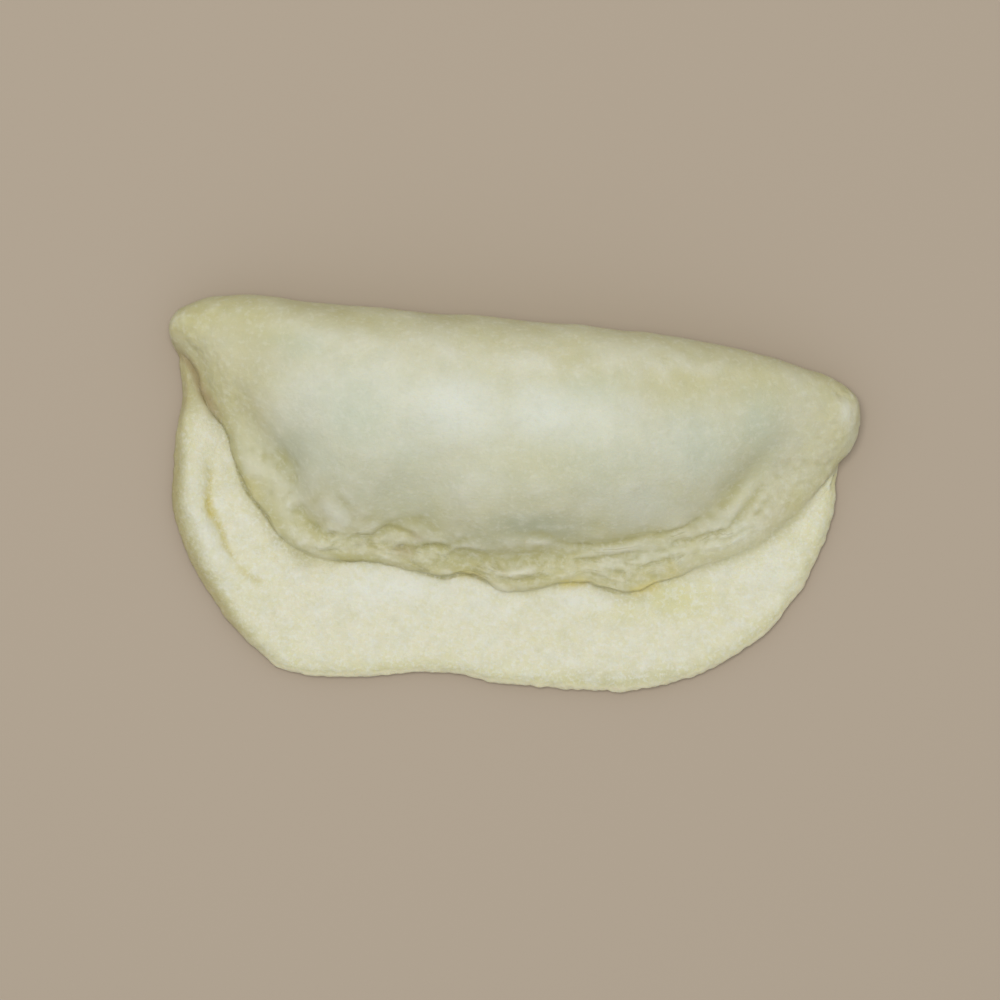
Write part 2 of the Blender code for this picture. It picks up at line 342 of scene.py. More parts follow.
# %% Flour on the lower half, with a softer border where the edge has melted in
melted = np.clip(melt, 0, 1)
softer = 1.8 * melted
shelf_side = ramp(-inside_edge, -1.5 - softer, 1.2 + softer)
shelf_height = 1 - ramp(z, 3.9, 4.5 + 0.5 * softer)
flour = np.where(inside_edge < -1.2 - softer, 1.0, shelf_side * shelf_height)
flour *= 1 - ramp(y, 2.8, 5.0) * ramp(x, 49.0, 51.0)
flour *= 1 - ramp(y, 11.0, 17.0) * ramp(-x, 48.0, 51.0)
print("floury share of the skin:", round(float(flour.mean()), 2))

# %% [markdown]
# ## Four ways to touch dough
#
# A broad dent is a fingertip's. A crease is thin, and its bottom gets painted shade, dark and yellow. A lip
# is a
# fold that laps over what is beside it: rounded on its own side, with a sharp drop on the other. A puff is
# dough pushed up between creases, paler partly because it is drier and partly by a painted highlight.
#
# A crease's bottom is thinner than the mesh is fine. So each point near one also keeps how far across it the
# point lies, with the sign of its side. Between points that distance is even, so the material can draw a
# dark line of painted shade of any thinness where it passes through zero.


# %% Dent, crease, lip and puff
def stroke(places, fade=0.3):
    """A stroke's distances, its sides, and how strong it is along its length on the top of the dough."""
    distance, along, side, length = nearest(smooth_path(places))
    ends = np.clip(np.minimum(along, length - along) / (fade * length), 0, 1)
    return distance, side, up * np.sin(ends * math.pi / 2)


def tint(mask, weight):
    """Let a stroke leave colour, without adding up where strokes cross."""
    np.maximum(mask, weight, out=mask)


def draw(distance, side, strength):
    """Keep a thin line of painted shade, so that the material can draw it."""
    nearer = (distance < np.abs(across_line)) & (strength > 0)
    across_line[nearer] = (side * distance)[nearer]
    line[nearer] = (strength * (1 - ramp(distance, 0.6, 1.1)))[nearer]


CREASE_TINT = 0.6  # a crease's warm band, as a share of its line's strength
LIP_DROP_WIDTH = 0.7


def dent(places, width, depth, colour=0.2):
    """Press a broad, shallow dent, with a little painted shade in it."""
    distance, _, strength = stroke(places)
    weight = strength * faded(distance, width)
    push[:] -= depth * weight
    tint(warm_shade, colour * weight)


def crease(places, depth, width=0.6, colour=0.5, fade=0.3):
    """Press a thin crease, with painted shade along its bottom."""
    distance, side, strength = stroke(places, fade)
    weight = strength * faded(distance, width)
    push[:] -= depth * weight
    tint(warm_shade, CREASE_TINT * colour * weight)
    draw(distance, side, colour * strength)


def lip(places, rise, drop, width, colour):
    """Lap the dough on the stroke's left over the dough on its right, with painted shade under the lap."""
    distance, side, strength = stroke(places)
    thin = faded(distance, LIP_DROP_WIDTH)
    wide = faded(distance, width) * (side > 0)
    push[:] += strength * (rise * wide * (1 - thin) - drop * thin)
    tint(warm_shade, CREASE_TINT * colour * strength * thin)
    draw(distance, side, colour * strength)


def puff(places, width, height, colour=0.3):
    """Raise a soft pillow of dough, paler than the rest: partly drier dough, partly a painted highlight."""
    distance, _, strength = stroke(places, 0.5)
    weight = strength * faded(distance, width)
    push[:] += height * weight
    tint(dry_and_highlight, colour * weight)


def stain(mask, places, width, colour):
    """Leave colour along a stroke and no dent."""
    distance, _, strength = stroke(places)
    tint(mask, colour * strength * faded(distance, width))


def tell(what):
    """Print how far the strokes push the skin by now."""
    print(what + ":", round(push.min(), 2), "to", round(push.max(), 2), "mm so far")


# %% [markdown]
# ## The foot of the mound
#
# Fingers pressed the flap down in front of the filling. From the left end a soft valley runs down to the
# front corner, splits into two laps round a small pillow, and goes on to the right as one long crease.

# %% Left of the front corner
dent(
    [(-48.4, 17.5), (-46.0, 12.6), (-43.6, 9.6), (-41.4, 7.4), (-39.3, 4.4), (-38.0, 1.6), (-35.4, 0.2)],
    2.3, 0.7, 0.15,
)
dent([(-38.8, -1.8), (-36.8, -4.2), (-34.8, -5.8), (-32.6, -7.0)], 1.6, 0.75, 0.35)
crease([(-36.0, -4.9), (-34.4, -6.6), (-32.6, -7.3), (-30.2, -7.6)], 0.3, 0.7, 0.4)
puff([(-47.6, 5.4), (-44.6, 4.0), (-41.6, 2.4), (-39.4, -0.6)], 1.6, 0.75, 0.25)
puff([(-41.4, -5.8), (-38.4, -7.8), (-34.6, -9.2), (-31.0, -9.6)], 1.4, 0.5, 0.35)
puff([(-33.8, -0.8), (-31.2, -3.2), (-28.4, -5.6)], 1.7, 0.6, 0.45)
dent([(-31.0, 0.0), (-29.0, -2.2), (-27.0, -4.4)], 1.0, 0.25, 0.25)
tell("left of the front corner")

# %% The arch, the pillow under it, and the crease below
dent([(-24.4, -6.6), (-21.8, -5.4), (-18.4, -4.9), (-15.4, -5.4), (-12.4, -7.0)], 1.0, 0.4, 0.35)
lip(
    [
        (-29.0, -7.9), (-27.2, -7.4), (-24.8, -7.4), (-23.4, -6.5), (-21.6, -6.0), (-19.2, -6.5),
        (-16.6, -7.8),
    ],
    0.15, 0.3, 1.3, 0.45,
)
puff([(-22.6, -7.9), (-20.6, -7.7), (-18.2, -8.3)], 1.0, 0.35, 0.0)
lip(
    [
        (-23.4, -9.2), (-21.3, -9.5), (-19.5, -9.2), (-17.5, -9.6), (-15.6, -9.3), (-13.6, -9.2),
        (-11.0, -10.4),
    ],
    0.2, 0.5, 1.2, 0.75,
)
# Painted shade, brown, under the edges of the two laps
stain(brown_shade, [(-21.6, -9.6), (-19.4, -10.0), (-17.0, -10.0)], 0.9, 0.35)
stain(brown_shade, [(-18.4, -6.8), (-16.8, -7.6), (-15.8, -8.4)], 0.8, 0.3)
puff([(-17.6, -10.9), (-15.6, -11.4), (-13.6, -12.0)], 1.3, 0.45, 0.2)
crease([(-18.4, -11.6), (-16.6, -12.9), (-14.6, -13.9)], 0.3, 0.6, 0.5)
tell("with the arch")

# %% The long valley to the right
dent([(-13.8, -10.2), (-8.0, -11.3), (-3.0, -11.6), (3.0, -11.4), (9.5, -10.6)], 1.7, 0.9, 0.45)
dent([(0.8, -7.3), (6.5, -8.4), (13.9, -8.7), (18.3, -8.3), (23.0, -7.2), (29.5, -6.2)], 1.5, 0.4, 0.25)
lip([(7.0, -9.0), (13.0, -9.3), (19.0, -8.6), (23.4, -7.4)], 0.15, 0.3, 1.6, 0.35)
puff([(1.6, -8.4), (4.2, -8.6), (7.0, -9.1)], 0.55, 0.55, 1.0)
dent([(29.0, -6.4), (32.5, -4.3), (35.4, -2.6), (36.8, 0.0), (42.3, 5.4), (44.5, 9.0)], 1.8, 0.45, 0.25)
crease([(22.2, -7.3), (25.4, -7.3), (29.0, -6.1), (32.4, -4.2)], 0.25, 0.7, 0.4)
crease([(27.6, -9.6), (31.4, -7.8), (35.4, -6.6), (36.8, -6.1), (38.6, -3.4)], 0.3, 0.6, 0.45)
dent([(37.5, -5.4), (40.6, -1.6), (43.0, 2.0)], 0.8, 0.3, 0.25)
puff([(11.0, -10.4), (14.4, -10.0), (18.4, -9.7), (24.4, -8.5)], 0.9, 0.45, 0.5)
puff([(33.6, -3.6), (36.6, -3.4), (39.0, -0.8), (41.4, 2.4)], 0.9, 0.35, 0.3)
tell("with the long valley")

# %% [markdown]
# ## Crinkles in the flap's border
#
# Between the valley and the free edge the dough is crinkled everywhere. The crinkles run along the edge, so
# they are noise on coordinates that follow it: millimetres along the edge and millimetres in from it.
# Without its sign, smooth noise is a field of rounded pillows with sharp creases between them. Three sizes
# of it are added up, because pillows of one size alone would look like icing. The noise on the skin itself
# bends the coordinates a little, so that no crinkle is straight.


# %% Noise on the skin
def noisy(places, size, seed):
    """Smooth noise from -1 to 1 at each place, whose lumps are about this wide."""
    shift = np.array((seed, 0, 0))
    return np.array([noise.noise(Vector(place)) for place in places / size + shift])


flat = np.zeros(len(skin))
beside = np.column_stack([along_edge, inside_edge, flat])
swirl = np.column_stack([noisy(skin, 4.0, 61.0), 0.8 * noisy(skin, 4.0, 67.0), flat])
FLOW = beside + swirl
print("coordinates bent by up to", round(float(np.abs(swirl).max()), 1), "mm")

# %% Crinkles and crumbs
from_end = edge_length - along_edge
right_of_nose = ramp(along_edge, 34.0, 44.0)
border = ramp(inside_edge, 0.6, 1.8) * (1 - ramp(inside_edge, 5.0, 8.5)) * up
patchy = 0.35 + 0.65 * ramp(noisy(skin, 6.0, 29.0), -0.3, 0.35)
creased = border * right_of_nose * ramp(from_end, 10.0, 44.0) * patchy
PILLOW_MIDDLE = 0.2  # about the mean of the noise without its sign
# Length, width and height in millimetres, and the noise's seed
CRINKLES = ((6.0, 1.8, 0.6, 3.0), (3.0, 1.0, 0.3, 17.0), (1.6, 0.8, 0.2, 19.0))
for length, width, height, seed in CRINKLES:
    pillows = np.abs(noisy(FLOW, np.array((length, width, 1.0)), seed))
    push += height * creased * (pillows - PILLOW_MIDDLE)
push += 0.14 * border * noisy(skin, 1.1, 79.0)
crinkled = creased * (1 - ramp(inside_edge, 3.4, 5.4))
crumbly = ramp(inside_edge, 0.3, 1.2) * (1 - ramp(inside_edge, 4.5, 8.0)) * up
crumbly *= right_of_nose * ramp(from_end, 6.0, 20.0)
print("crinkled points:", int((crinkled > 0.1).sum()))

# %% [markdown]
# Between these pillows there are short, thin wrinkles that also run along the edge. They are scattered at
# random, but with a fixed seed, so that every run gives the same dough.


# %% Short wrinkles beside the edge
def beside_edge(along, inside):
    """The place in plan that is so far along the flap's edge and so far inside it."""
    path = smooth_path(FLAP_EDGE)
    steps = np.diff(path, axis=0)
    walked = np.append(0, np.cumsum(np.hypot(*steps.T)))
    segment = np.clip(np.searchsorted(walked, along) - 1, 0, len(steps) - 1)
    forward = steps[segment] / np.hypot(*steps[segment])
    return path[segment] + (along - walked[segment]) * forward + inside * np.array((-forward[1], forward[0]))


random = np.random.default_rng(7)
for along in np.arange(46.0, 136.0, 3.6):
    start = along + random.uniform(-1.5, 1.5)
    inside = random.uniform(1.3, 5.4)
    length = random.uniform(2.5, 6.0)
    bend = random.uniform(-0.5, 0.5, 2)
    places = [
        beside_edge(start, inside),
        beside_edge(start + length / 2, inside + bend[0]),
        beside_edge(start + length, inside + bend[1]),
    ]
    crease(places, random.uniform(0.1, 0.22), 0.5, random.uniform(0.1, 0.35), fade=0.5)
tell("with crinkles and short wrinkles")

# %% [markdown]
# ## Along the free edge
#
# Just inside the edge there are a few little lumps and laps, the lumps paler with a painted highlight, and
# under them the crease has its strongest painted shade and orange glow.

# %% Lumps and laps beside the edge
lip([(-9.6, -13.4), (-7.6, -13.4), (-5.4, -13.9), (-2.6, -14.7), (0.6, -14.9)], 0.2, 0.35, 1.0, 0.45)
lip([(-2.4, -14.8), (1.5, -14.9), (4.2, -14.4), (6.5, -14.0)], 0.2, 0.35, 1.0, 0.45)
puff([(-13.8, -12.9), (-12.2, -13.4), (-10.4, -13.5)], 0.8, 0.55, 0.8)
puff([(-2.4, -13.9), (1.5, -13.4), (5.0, -12.5)], 0.8, 0.5, 0.95)
puff([(17.0, -15.6), (18.2, -15.4), (19.4, -15.2)], 0.9, 0.4, 0.4)
puff([(-25.4, -10.0), (-22.5, -10.6), (-19.5, -11.4)], 0.9, 0.35, 0.3)
puff([(10.6, -12.9), (15.0, -12.8), (19.0, -12.0)], 1.3, 0.4, 0.35)
crease([(-28.6, -9.4), (-25.6, -9.1), (-22.6, -9.9)], 0.2, 0.6, 0.3)
crease([(9.0, -11.6), (13.6, -11.4), (18.2, -10.6), (23.4, -10.2)], 0.2, 0.6, 0.3)
crease([(20.6, -13.6), (24.4, -12.0), (29.0, -11.2)], 0.2, 0.6, 0.35)
tell("with lumps and laps")

# %% Painted shade and orange glow beside the edge
stain(orange_glow, [(7.4, -15.9), (10.0, -15.6), (12.7, -15.4)], 0.8, 0.65)
stain(orange_glow, [(19.6, -17.2), (22.7, -16.6), (25.2, -15.4)], 0.8, 0.75)
stain(orange_glow, [(-10.4, -14.3), (-8.0, -14.2), (-5.4, -14.9)], 0.6, 0.3)
stain(orange_glow, [(25.4, -13.4), (26.8, -13.0), (28.0, -12.2)], 1.8, 0.2)
stain(orange_glow, [(-46.8, 3.4), (-45.4, 0.9), (-43.4, -1.2)], 1.3, 0.2)
stain(warm_shade, [(-47.0, 3.4), (-44.6, -0.4), (-42.2, -4.0), (-40.0, -7.0)], 1.5, 0.6)
stain(warm_shade, [(-32.8, -11.2), (-29.0, -11.3), (-26.0, -11.3), (-21.4, -11.8)], 0.9, 0.9)
stain(warm_shade, [(-24.0, -10.6), (-18.0, -11.8), (-12.0, -13.0), (-7.0, -12.8), (-2.0, -13.2)], 1.7, 0.5)
stain(warm_shade, [(12.0, -15.4), (17.0, -16.6), (22.0, -16.4), (27.0, -14.8), (31.0, -12.8)], 1.2, 0.3)
stain(warm_shade, [(29.0, -14.0), (36.0, -11.4), (43.0, -8.2), (49.0, -3.4), (52.0, 0.0)], 1.3, 0.45)
stain(warm_shade, [(14.0, -17.2), (19.6, -18.4), (25.0, -17.0)], 1.1, 0.3)
stain(warm_shade, [(-3.0, -15.2), (2.0, -15.4), (7.0, -14.8)], 1.0, 0.5)
stain(warm_shade, [(-48.4, 3.0), (-44.8, -3.0), (-41.4, -8.0), (-37.0, -11.2), (-33.0, -12.0)], 1.1, 0.35)
# A pale streak, partly a painted highlight
stain(dry_and_highlight, [(16.0, -12.2), (21.0, -11.8), (25.0, -10.8)], 1.4, 0.4)
print("orange points:", int((orange_glow > 0.3).sum()))

# %% [markdown]
# ## The two ends
#
# At the left the fold rolls over into a blunt nose, and along its edge lies a soft olive and brown band of
# painted shade. At the right it ends in a broad lobe that overhangs the lower half.

# %% The nose
puff([(-56.0, 29.0), (-50.5, 25.0), (-45.5, 18.0)], 3.2, 0.3)
# Painted shade along the nose's rolled edge, olive and brown
stain(
    warm_shade,
    [(-58.6, 26.0), (-56.8, 23.8), (-54.2, 18.6), (-52.6, 15.2), (-49.4, 10.4), (-47.4, 5.0)],
    1.3, 0.7,
)
stain(
    brown_shade,
    [(-58.8, 28.6), (-59.0, 25.4), (-56.0, 21.8), (-54.6, 18.4), (-52.8, 15.4), (-50.2, 11.4)],
    1.0, 0.75,
)
stain(brown_shade, [(-59.4, 25.4), (-58.0, 21.0), (-57.6, 16.4), (-58.6, 11.0)], 1.2, 0.4)
tell("with the nose")

# %% The lobe, and the fullness of both ends
puff([(56.0, 16.5), (56.9, 13.8), (56.6, 10.6)], 1.8, 0.25)
# Painted shade along the lobe's lower edge
stain(warm_shade, [(50.0, -1.6), (52.4, 1.2), (54.8, 4.2), (58.2, 8.2)], 1.8, 0.25)
FULLNESS = 0.8
for across, back, reach in ((58.4, 8.5, 4.2), (-59.2, 27.5, 3.8)):
    push += FULLNESS * np.exp(-((x - across) ** 2 + (y - back) ** 2) / reach**2)
tell("with the lobe")

# %% [markdown]
# Where the flap's edge has melted in, or is only laid down lightly, it still shows as a line of painted
# shade, yellow in some places and olive in others.

# %% A line of painted shade along the flap's edge
open_edge = ramp(along_edge, 4.0, 10.0) * ramp(from_end, 12.0, 22.0)
varied = noisy(skin, 5.0, 33.0)
edge_band = faded(np.clip(inside_edge - 0.5, -FAR, FAR), 0.9)
left_edge = 1 - ramp(along_edge, 40.0, 52.0)
# Painted shade along the edge: a warm band, and a thin dark line
tint(warm_shade, up * open_edge * edge_band * (0.35 + 0.4 * left_edge + 0.35 * varied - 0.25 * melted))
distance, _, side, _ = nearest(smooth_path(FLAP_EDGE))
# Place across and half-width of the parts that fingers pressed hardest
HARD_PRESSED = ((-29.5, 3.0), (-13.2, 3.5), (-7.0, 2.5), (16.0, 2.5))
pressed = sum(faded(x - across, half_width) for across, half_width in HARD_PRESSED)
fainter = ramp(x, 4.0, 9.0)
strength = 0.2 - 0.15 * fainter + 0.3 * varied + 0.5 * pressed + 0.4 * left_edge
draw(distance, side, open_edge * np.clip(strength, 0, 0.8) * (1 - melted) * (1 - 0.7 * orange_glow))
print("points near a drawn line:", int((line > 0.1).sum()))

# %% [markdown]
# ## The wrinkle in the lower half
#
# Beside its left rim the lower half buckled into one thin wrinkle, deepest near the middle, where a painted
# orange glow lies in it. The dough left of it is a slightly raised border.

# %% A wrinkle and the border beside it
WRINKLE = [
    (-52.6, 5.0), (-53.0, 1.0), (-53.0, -2.1), (-52.2, -3.9), (-50.7, -6.9), (-49.9, -9.5),
    (-47.6, -13.1),
]
crease(WRINKLE, 0.45, 0.6, 0.25)
# The wrinkle's painted orange glow, and a little painted shade
stain(orange_glow, WRINKLE, 0.5, 0.5)
stain(orange_glow, [(-53.2, -0.6), (-53.0, -2.6), (-52.1, -4.6)], 0.75, 1.0)
stain(orange_glow, [(-48.4, -12.5), (-46.0, -14.4), (-43.4, -15.6)], 0.5, 0.3)
stain(warm_shade, [(-52.5, 5.0), (-52.4, 1.0), (-52.2, -1.5)], 1.2, 0.1)
dent([(-48.4, -12.5), (-46.0, -14.6), (-43.4, -15.9)], 0.9, 0.25, 0.25)
puff([(-55.0, -1.2), (-54.0, -5.8), (-52.1, -10.0)], 1.3, 0.3)
tell("with the wrinkle")

# %% [markdown]
# ## Unevenness everywhere
#
# Nothing about dough is even. The mound has broad soft lumps, the flap's edge wanders, the lower half is
# pebbled by the flour it was rolled in, and its cut rim is slightly ragged. One kind of noise at several
# sizes gives all of these, and a mask keeps each where it belongs.

# %% Lumps and pebbles
above = np.clip(z / 2.0, 0, 1)
on_mound = above * (1 - flour)
on_shelf = above * flour * up
unstretched = 1 - ramp(inside_edge, 8.0, 14.0)
wandering = above * open_edge * (1 - melted) * faded(inside_edge, 0.9)
# Where, height and size in millimetres, and the noise's seed
LUMPS = (
    (on_mound, 0.5, 10.0, 11.0), (on_mound, 0.14, 3.5, 23.0), (on_mound * unstretched, 0.12, 1.8, 37.0),
    (wandering, 0.45, 2.2, 73.0),
    (on_shelf, 0.3, 6.0, 41.0), (on_shelf, 0.16, 2.0, 43.0), (on_shelf, 0.1, 1.0, 47.0),
)
for where, height, size, seed in LUMPS:
    push += height * where * noisy(skin, size, seed)
tell("with lumps and pebbles")

# %% A ragged rim, which rounds off early
outer = (1 - np.abs(facing[:, 2])) * (inside_edge < -2) * np.clip(z / 0.6, 0, 1)
torn = 0.5 + 0.5 * ramp(-y, 27.0, 31.0) * ramp(x, -2.0, 6.0)
push += outer * torn * (0.5 + 0.4 * noisy(skin, 2.2, 53.0) + 0.4 * noisy(skin, 1.0, 59.0))
beside_rim = faded(from_rim, 2.4)
push -= 0.3 * beside_rim * beyond_flap * ramp(z, 1.5, 3.0)
tell("with the rim")

# %% [markdown]
# The rim shows the side of the lower half. Painted shade makes it warm and a little brown at the left and
# darker towards the table everywhere, and painted light keeps it pale at the front.

# %% The rim's painted shade, brownest at the left and underneath, and its painted light
left = ramp(-x, 38.0, 50.0) * (1 - 0.35 * ramp(y, 4.0, 12.0))
# Painted shade along the rim: warm, and brown at the left
stain(warm_shade, [(4.0, -31.6), (14.0, -32.2), (24.0, -31.8), (33.0, -28.6)], 1.6, 0.3)
tint(warm_shade, (0.14 + 0.72 * left) * beside_rim * beyond_flap)
tint(brown_shade, (0.05 + 0.4 * left) * faded(from_rim, 1.4) * beyond_flap)
# A painted shadow where the rim meets the table
beneath = (1 - ramp(z, 0.4, 1.3)) * (1 - up + ramp(0.95 - facing[:, 2], 0, 0.4))
before_nose = 1 - ramp(y, 17.0, 24.0)
tint(brown_shade, 0.7 * np.clip(beneath, 0, 1) * ramp(-inside_edge, 0.5, 1.5) * before_nose)
# Painted light on the side of the rim at the front
rim_side_light = flour * (1 - ramp(facing[:, 2], 0.2, 0.85)) * ramp(-y, 6.0, 20.0)
rim_side_light *= (1 - 0.8 * left) * ramp(-inside_edge, 2.0, 4.0)
dust = flour * ramp(facing[:, 2], 0.5, 0.95) * (1 - 0.6 * left * beside_rim)
print("floury top, as a share of the skin:", round(float(dust.mean()), 2))

# %% Painted shade on the back of the fold, a little warmer and darker than the top
tint(warm_shade, 0.4 * ramp(facing[:, 1], 0.35, 0.95) * ramp(y, 8.0, 18.0))
print("warm points:", int((warm_shade > 0.3).sum()))

# %% [markdown]
# Now the push is carried out. It is evened once, so that no single point sticks out. The push has crowded
# the points at the two ends again, so these places are kneaded once more. At last every point that went
# through the table is lifted back onto it.

# %% The new shape
push = (push + evened(push)) / 2
skin += facing * push[:, None]
KNEADED_AGAIN = ((-59.3, 25.4), (59.0, 9.4), (57.0, 5.4))
for across, back in KNEADED_AGAIN:
    knead(across, back, 2.8, 0.5)
np.maximum(z, 0, out=z)
write_skin()
only(dough)
bpy.ops.object.shade_smooth()
facing = read("normal")
print("pushed by", round(push.min(), 2), "to", round(push.max(), 2), "mm")

# %% [markdown]
# ## Painted shade and highlights that follow the form
#
# The strokes have put painted shade in the creases that were drawn. The crinkles need the same, so the form
# itself is asked: a point that lies below a smoothed copy of the skin is in a hollow, and one above it is on
# a ridge. Hollows get painted shade, darker and yellow, and ridges a paler painted highlight.


# %% Hollows and ridges
def depth_below(rounds):
    """How far each point lies below the skin when that is smoothed this many times."""
    smoother = skin
    for _ in range(rounds):
        smoother = evened(smoother)
    return ((smoother - skin) * facing).sum(axis=1)


small = depth_below(6)
large = depth_below(60)
hollow = ramp(small, 0.005, 0.11) * 0.5 + ramp(large, 0.12, 0.9) * 0.35
ridge = ramp(-small, 0.01, 0.13) * 0.4 + ramp(-large, 0.12, 0.8) * 0.3
# Painted shade in the hollows, and a painted highlight on the ridges
tint(warm_shade, np.clip(hollow, 0, 1) * (1 - 0.75 * flour) * up)
tint(dry_and_highlight, ridge * up)
print("hollow points:", int((hollow > 0.5).sum()), "ridge points:", int((ridge > 0.5).sum()))

# %% [markdown]
# ## Thin skin over the filling
#
# Over the filling the dough is stretched thin, and looks cooler: almost white on the top of the mound, where
# painted highlights lie too, and grey-green on its front slope, where the dark filling is closest and
# painted shade darkens it further. Each patch is a soft oval, and noise breaks up its border.


# %% Patches on the mound
def patches(ovals, seed):
    """The strongest of some soft ovals at each point, with uneven borders."""
    mask = np.zeros(len(skin))
    wobble = 1 + 0.5 * noisy(skin, 6.0, seed) + 0.25 * noisy(skin, 2.5, seed + 5)
    for across, back, half_width, half_depth, strength in ovals:
        size = ((x - across) / half_width) ** 2 + ((y - back) / half_depth) ** 2
        tint(mask, strength * np.exp(-size * wobble))
    return mask


stretched = patches(((-22, 11, 22, 15, 0.95), (6, 8, 26, 13, 1.0), (30, 8, 18, 10, 0.85)), 67.0)
# The pale ovals are partly painted highlights: the bright top of the mound and the lobe
pale_and_highlight = patches(
    (
        (-35, 16, 8, 9, 0.6), (-25, 19, 11, 7, 0.5), (-10, 15, 10, 8, 0.95), (5, 14, 9, 6, 0.85),
        (15, 13, 8, 5, 0.6), (-38, 8, 6, 7, 0.4), (26, 8, 11, 8, 0.4), (-9, 2, 8, 6.5, 0.35),
        (22, -2, 9, 4, 0.6), (48, 14, 8, 10, 0.25), (56.7, 14.2, 0.9, 2.4, 0.5), (58, 9.5, 1.5, 3, 0.35),
        (24, -10.5, 12, 2.5, 0.3), (37, -7, 6, 4, 0.5), (-30, -4, 3, 4, 0.3), (-45.5, 8, 3.2, 7, 0.45),
    ),
    71.0,
)
cool = patches(
    (
        (-36, 26, 5, 3, 0.6), (-27, 13, 5, 6, 0.6), (-33, 6, 7, 5, 0.3), (14, 5, 7, 5, 0.3),
        (12, 18, 6, 3, 0.4), (41, 12, 3.5, 6, 0.6), (31, 8, 6, 6, 0.45), (-20, 1, 8, 4, 0.25),
        (-18.5, 6.5, 4.5, 3.5, 0.25), (22, 2, 10, 5, 0.2),
    ),
    113.0,
)
# The grey ovals are partly painted shade on the mound's slopes
grey_and_shade = patches(
    (
        (-28, 2, 8, 5, 0.15), (-14, -4, 10, 3.5, 0.3), (3, -5.4, 9, 2.6, 0.95), (5, 0, 14, 5, 0.25),
        (14, -6, 8, 2.5, 0.25), (-6, -8, 8, 3, 0.5), (38, 7, 4, 6, 0.25), (44, 11, 2.5, 5, 0.3),
        (-38, 8, 3.5, 4, 0.5),
    ),
    83.0,
)
yellow = patches(
    (
        (3, 5, 9, 4, 0.3), (-22, 30, 26, 4, 0.65), (8, 25, 24, 4.5, 0.7), (34, 20, 12, 4, 0.5),
        (-50, 22, 8, 9, 0.5), (-46, 10, 4, 8, 0.4),
    ),
    91.0,
)
for name, mask in (("pale_and_highlight", pale_and_highlight), ("cool", cool), ("grey_and_shade", grey_and_shade), ("yellow", yellow)):
    print(name, "share of the skin:", round(float(mask.mean()), 3))

# %% Yellow and white patches on the lower half, with painted shade near the rim
butter_and_rim_shade = flour * patches(
    (
        (27, -18.2, 7.5, 3.4, 1.0), (20, -20.5, 7, 2.2, 0.5), (-53, 3, 1.8, 6, 0.4), (40, -12, 4, 5, 0.4),
        (50, -8, 5, 7, 0.4), (-46, -16, 5, 6, 0.25),
    ),
    97.0,
)
# Painted shade: darker and yellower within a few millimetres of the rim
tint(butter_and_rim_shade, 0.85 * flour * beside_rim)
# One of the white patches, beside the wrinkle, is a painted highlight on a puff
white_and_highlight = flour * patches(
    (
        (-20, -16.5, 11, 3.5, 0.8), (11, -18.3, 5, 1.8, 0.7), (43, -14, 6, 4, 0.45),
        (-53.3, -7, 1.4, 3, 0.7), (-6, -19, 8, 3, 0.5), (53, -5, 2, 4, 0.15),
    ),
    101.0,
)
print("buttery share of the skin:", round(float(butter_and_rim_shade.mean()), 3))

# %% [markdown]
# The masks go onto the mesh as attributes, one number to a point, where the material can read them. Painting
# them into a picture would need the skin to be unwrapped, and seams would show.

# %% The masks on the mesh
LIMIT = 1.5  # beyond this, a distance from a line no longer matters
CELL = (2.4, 0.8, 1.0)  # how long and how wide the finest wrinkles' pattern is, in millimetres
MASKS = {
    "stretched": stretched, "pale_and_highlight": pale_and_highlight, "cool": cool, "grey_and_shade": grey_and_shade, "yellow": yellow, "flour": flour,
    "butter_and_rim_shade": butter_and_rim_shade, "white_and_highlight": white_and_highlight, "dry_and_highlight": dry_and_highlight, "warm_shade": warm_shade, "orange_glow": orange_glow, "brown_shade": brown_shade, "line": line,
    "across_line": across_line, "dust": dust, "crinkled": crinkled, "crumbly": crumbly, "rim_side_light": rim_side_light,
}
for name, values in MASKS.items():
    mask = dough.data.attributes.new(name, "FLOAT", "POINT")
    mask.data.foreach_set("value", np.clip(values, -LIMIT, LIMIT))
flow = dough.data.attributes.new("flow", "FLOAT_VECTOR", "POINT")
flow.data.foreach_set("vector", (FLOW / CELL).ravel())
print("masks:", ", ".join(MASKS))

# %% [markdown]
# ## Building a material with nodes
#
# A material is a graph of nodes. A few helpers keep it readable: one adds a node and sets its values, one
# mixes a colour over another where a mask says, and one reads a mask that was painted on the mesh.


# %% Node helpers
def add(tree, kind, **values):
    """Add a node to a tree, and set the inputs or settings given by name."""
    node = tree.nodes.new(kind)
    for name, value in values.items():
        if hasattr(node, name):
            setattr(node, name, value)
        else:
            node.inputs[name.replace("_", " ")].default_value = value
    return node


def times(tree, first, second):
    """The product of two values, each a socket or a number."""
    node = add(tree, "ShaderNodeMath", operation="MULTIPLY")
    for socket, value in zip(node.inputs, (first, second)):
        if isinstance(value, (int, float)):
            socket.default_value = value
        else:
            tree.links.new(value, socket)
    return node.outputs[0]


def mixed(tree, base, colour, share):
    """A colour over a base, where the share says."""
    node = add(tree, "ShaderNodeMix", data_type="RGBA")
    tree.links.new(share, node.inputs["Factor"])
    for socket, value in ((node.inputs[6], base), (node.inputs[7], colour)):
        if isinstance(value, tuple):
            socket.default_value = (*value, 1)
        else:
            tree.links.new(value, socket)
    return node.outputs[2]


def painted(tree, name):
    """One of the masks painted on the mesh."""
    return add(tree, "ShaderNodeAttribute", attribute_name=name).outputs["Fac"]


